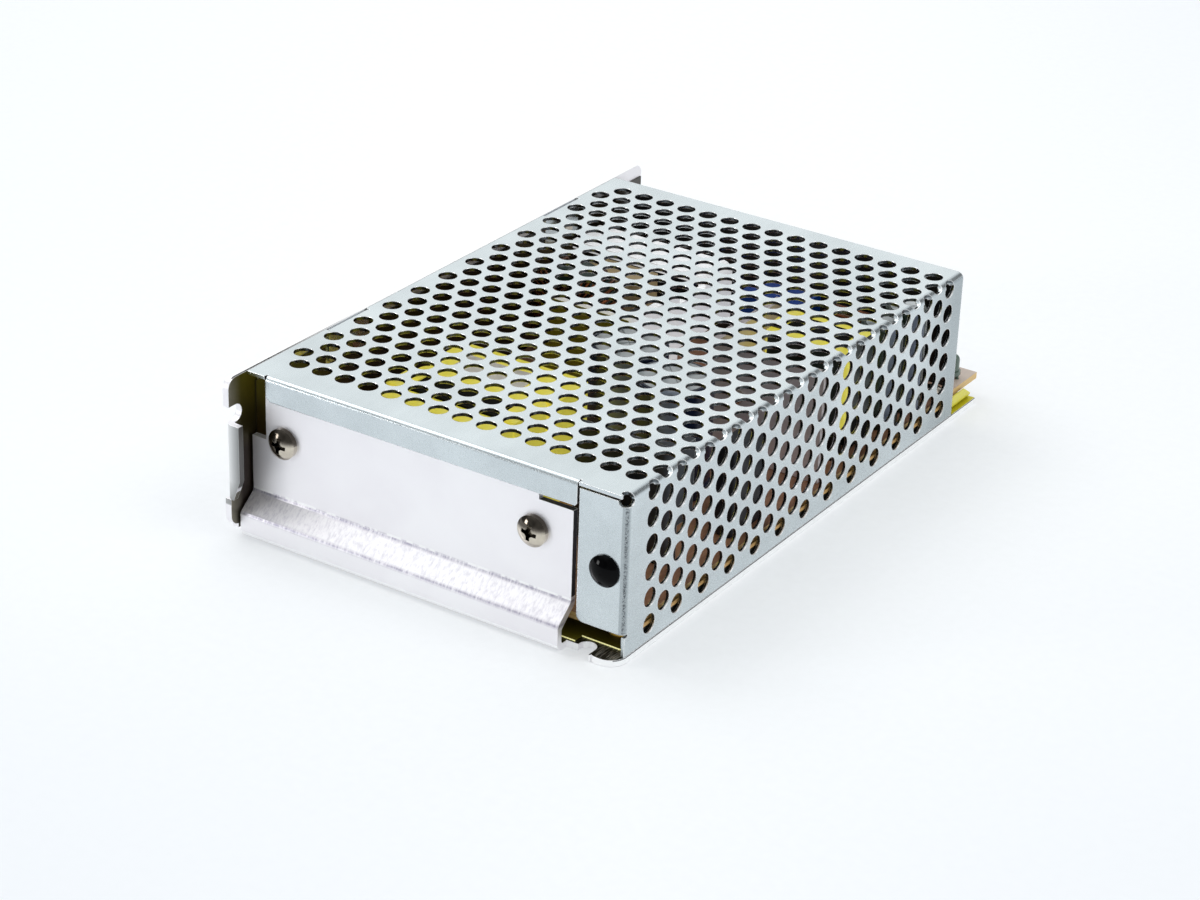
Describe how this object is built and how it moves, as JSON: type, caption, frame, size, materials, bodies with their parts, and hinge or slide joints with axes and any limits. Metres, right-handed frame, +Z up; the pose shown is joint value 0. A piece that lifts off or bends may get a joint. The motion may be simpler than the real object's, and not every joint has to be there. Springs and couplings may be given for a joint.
{
  "type": "mesh case switching power supply",
  "caption": "Open-terminal switching power supply: a folded metal tray with a circuit board, heat sinks and a terminal strip, under a punched ventilated cover.",
  "frame": {"origin": "middle of the footprint, on the surface that the base stands on", "axes": "+X from the closed left wall to the punched side, +Y along the case towards the terminals, +Z up"},
  "size_m": [0.098, 0.1632, 0.038],
  "materials": {
    "chassis": "satin, fine grain",
    "cover": "satin pale grey",
    "insulating_film": "clear yellow film",
    "case_screws": "nickel plated",
    "corner_plug": "gloss black",
    "circuit_board": "brown laminate",
    "standoffs": "turned",
    "terminal_block": "black moulded",
    "terminal_plates": "tin plated",
    "terminal_clamps": "nickel plated",
    "terminal_screws": "nickel plated",
    "trimmer_body": "moulded blue",
    "trimmer_rotor": "moulded white",
    "indicator_led": "clear green",
    "fuse_tube": "clear glass",
    "fuse_caps": "tin plated",
    "thermistor": "dipped black",
    "line_capacitor": "moulded beige",
    "line_choke_core": "coated ferrite",
    "copper_wire": "enamelled copper",
    "safety_capacitors": "dipped blue",
    "bulk_capacitors": "navy sleeve on aluminium",
    "transformer_cores": "ground ferrite",
    "transformer_bobbins": "moulded black",
    "transformer_tape": "yellow polyester tape",
    "semiconductors": "moulded black",
    "thermal_pad": "grey silicone sheet",
    "clamp_bar": "zinc plated",
    "primary_heatsink": "dark, dull",
    "shelf_heatsink": "bright",
    "output_heatsink": "satin",
    "heatsink_film": "yellow-olive film",
    "output_choke_core": "coated iron powder",
    "output_capacitors": "green sleeve on aluminium",
    "film_capacitor": "blue-grey box",
    "blue_capacitor": "blue",
    "resistors": "lacquered"
  },
  "bodies": {
    "case": {"chassis": "chassis", "cover": "cover", "insulating_film": "insulating_film", "end_plate_screws": "case_screws", "corner_plug": "corner_plug", "cover_screws": "case_screws", "circuit_board": "circuit_board", "standoffs": "standoffs", "inner_screws": "case_screws", "terminal_block": "terminal_block", "terminal_plates": "terminal_plates", "trimmer_body": "trimmer_body", "indicator_led": "indicator_led", "fuse_tube": "fuse_tube", "fuse_caps": "fuse_caps", "thermistor": "thermistor", "line_capacitor": "line_capacitor", "line_choke_core": "line_choke_core", "line_choke_winding": "copper_wire", "safety_capacitors": "safety_capacitors", "bulk_capacitor_front": "bulk_capacitors", "bulk_capacitor_rear": "bulk_capacitors", "main_transformer_core": "transformer_cores", "main_transformer_bobbin": "transformer_bobbins", "main_transformer_winding": "transformer_tape", "drive_transformer": "transformer_tape", "output_transformer_core": "transformer_cores", "output_transformer_bobbin": "transformer_bobbins", "output_transformer_winding": "transformer_tape", "clamped_transistors": "semiconductors", "thermal_pad": "thermal_pad", "clamp_bar": "clamp_bar", "primary_heatsink": "primary_heatsink", "shelf_heatsink": "shelf_heatsink", "output_heatsink": "output_heatsink", "screwed_semiconductors": "semiconductors", "heatsink_film": "heatsink_film", "output_choke_core": "output_choke_core", "output_choke_winding": "copper_wire", "output_capacitors": "output_capacitors", "film_capacitor": "film_capacitor", "blue_capacitor": "blue_capacitor", "bridge_rectifier": "semiconductors", "control_ic": "semiconductors", "resistors": "resistors"},
    "clamp_1": {"terminal_clamp_1": "terminal_clamps"},
    "screw_1": {"terminal_screw_1": "terminal_screws"},
    "clamp_2": {"terminal_clamp_2": "terminal_clamps"},
    "screw_2": {"terminal_screw_2": "terminal_screws"},
    "clamp_3": {"terminal_clamp_3": "terminal_clamps"},
    "screw_3": {"terminal_screw_3": "terminal_screws"},
    "clamp_4": {"terminal_clamp_4": "terminal_clamps"},
    "screw_4": {"terminal_screw_4": "terminal_screws"},
    "clamp_5": {"terminal_clamp_5": "terminal_clamps"},
    "screw_5": {"terminal_screw_5": "terminal_screws"},
    "clamp_6": {"terminal_clamp_6": "terminal_clamps"},
    "screw_6": {"terminal_screw_6": "terminal_screws"},
    "clamp_7": {"terminal_clamp_7": "terminal_clamps"},
    "screw_7": {"terminal_screw_7": "terminal_screws"},
    "trimmer_rotor": {"trimmer_rotor": "trimmer_rotor"}
  },
  "joints": [
    {"name": "clamp_1_lift", "type": "slide", "parent": "case", "child": "clamp_1", "axis": [0, 0, 1], "range_m": [0, 0.0018]},
    {"name": "screw_1_turn", "type": "hinge", "parent": "clamp_1", "child": "screw_1", "pos_m": [-0.03125, 0.07615, 0.0135], "axis": [0, 0, 1], "range_deg": [0, 1080]},
    {"name": "clamp_2_lift", "type": "slide", "parent": "case", "child": "clamp_2", "axis": [0, 0, 1], "range_m": [0, 0.0018]},
    {"name": "screw_2_turn", "type": "hinge", "parent": "clamp_2", "child": "screw_2", "pos_m": [-0.02175, 0.07615, 0.0135], "axis": [0, 0, 1], "range_deg": [0, 1080]},
    {"name": "clamp_3_lift", "type": "slide", "parent": "case", "child": "clamp_3", "axis": [0, 0, 1], "range_m": [0, 0.0018]},
    {"name": "screw_3_turn", "type": "hinge", "parent": "clamp_3", "child": "screw_3", "pos_m": [-0.01225, 0.07615, 0.0135], "axis": [0, 0, 1], "range_deg": [0, 1080]},
    {"name": "clamp_4_lift", "type": "slide", "parent": "case", "child": "clamp_4", "axis": [0, 0, 1], "range_m": [0, 0.0018]},
    {"name": "screw_4_turn", "type": "hinge", "parent": "clamp_4", "child": "screw_4", "pos_m": [-0.00275, 0.07615, 0.0135], "axis": [0, 0, 1], "range_deg": [0, 1080]},
    {"name": "clamp_5_lift", "type": "slide", "parent": "case", "child": "clamp_5", "axis": [0, 0, 1], "range_m": [0, 0.0018]},
    {"name": "screw_5_turn", "type": "hinge", "parent": "clamp_5", "child": "screw_5", "pos_m": [0.00675, 0.07615, 0.0135], "axis": [0, 0, 1], "range_deg": [0, 1080]},
    {"name": "clamp_6_lift", "type": "slide", "parent": "case", "child": "clamp_6", "axis": [0, 0, 1], "range_m": [0, 0.0018]},
    {"name": "screw_6_turn", "type": "hinge", "parent": "clamp_6", "child": "screw_6", "pos_m": [0.01625, 0.07615, 0.0135], "axis": [0, 0, 1], "range_deg": [0, 1080]},
    {"name": "clamp_7_lift", "type": "slide", "parent": "case", "child": "clamp_7", "axis": [0, 0, 1], "range_m": [0, 0.0018]},
    {"name": "screw_7_turn", "type": "hinge", "parent": "clamp_7", "child": "screw_7", "pos_m": [0.02575, 0.07615, 0.0135], "axis": [0, 0, 1], "range_deg": [0, 1080]},
    {"name": "trimmer_turn", "type": "hinge", "parent": "case", "child": "trimmer_rotor", "pos_m": [0.0372, 0.07595, 0.0091], "axis": [0, 0, 1], "range_deg": [-135, 135]}
  ],
  "couplings": [
    {"joint": "screw_1_turn", "follows": "clamp_1_lift", "rad_per_m": 10472},
    {"joint": "screw_2_turn", "follows": "clamp_2_lift", "rad_per_m": 10472},
    {"joint": "screw_3_turn", "follows": "clamp_3_lift", "rad_per_m": 10472},
    {"joint": "screw_4_turn", "follows": "clamp_4_lift", "rad_per_m": 10472},
    {"joint": "screw_5_turn", "follows": "clamp_5_lift", "rad_per_m": 10472},
    {"joint": "screw_6_turn", "follows": "clamp_6_lift", "rad_per_m": 10472},
    {"joint": "screw_7_turn", "follows": "clamp_7_lift", "rad_per_m": 10472}
  ]
}
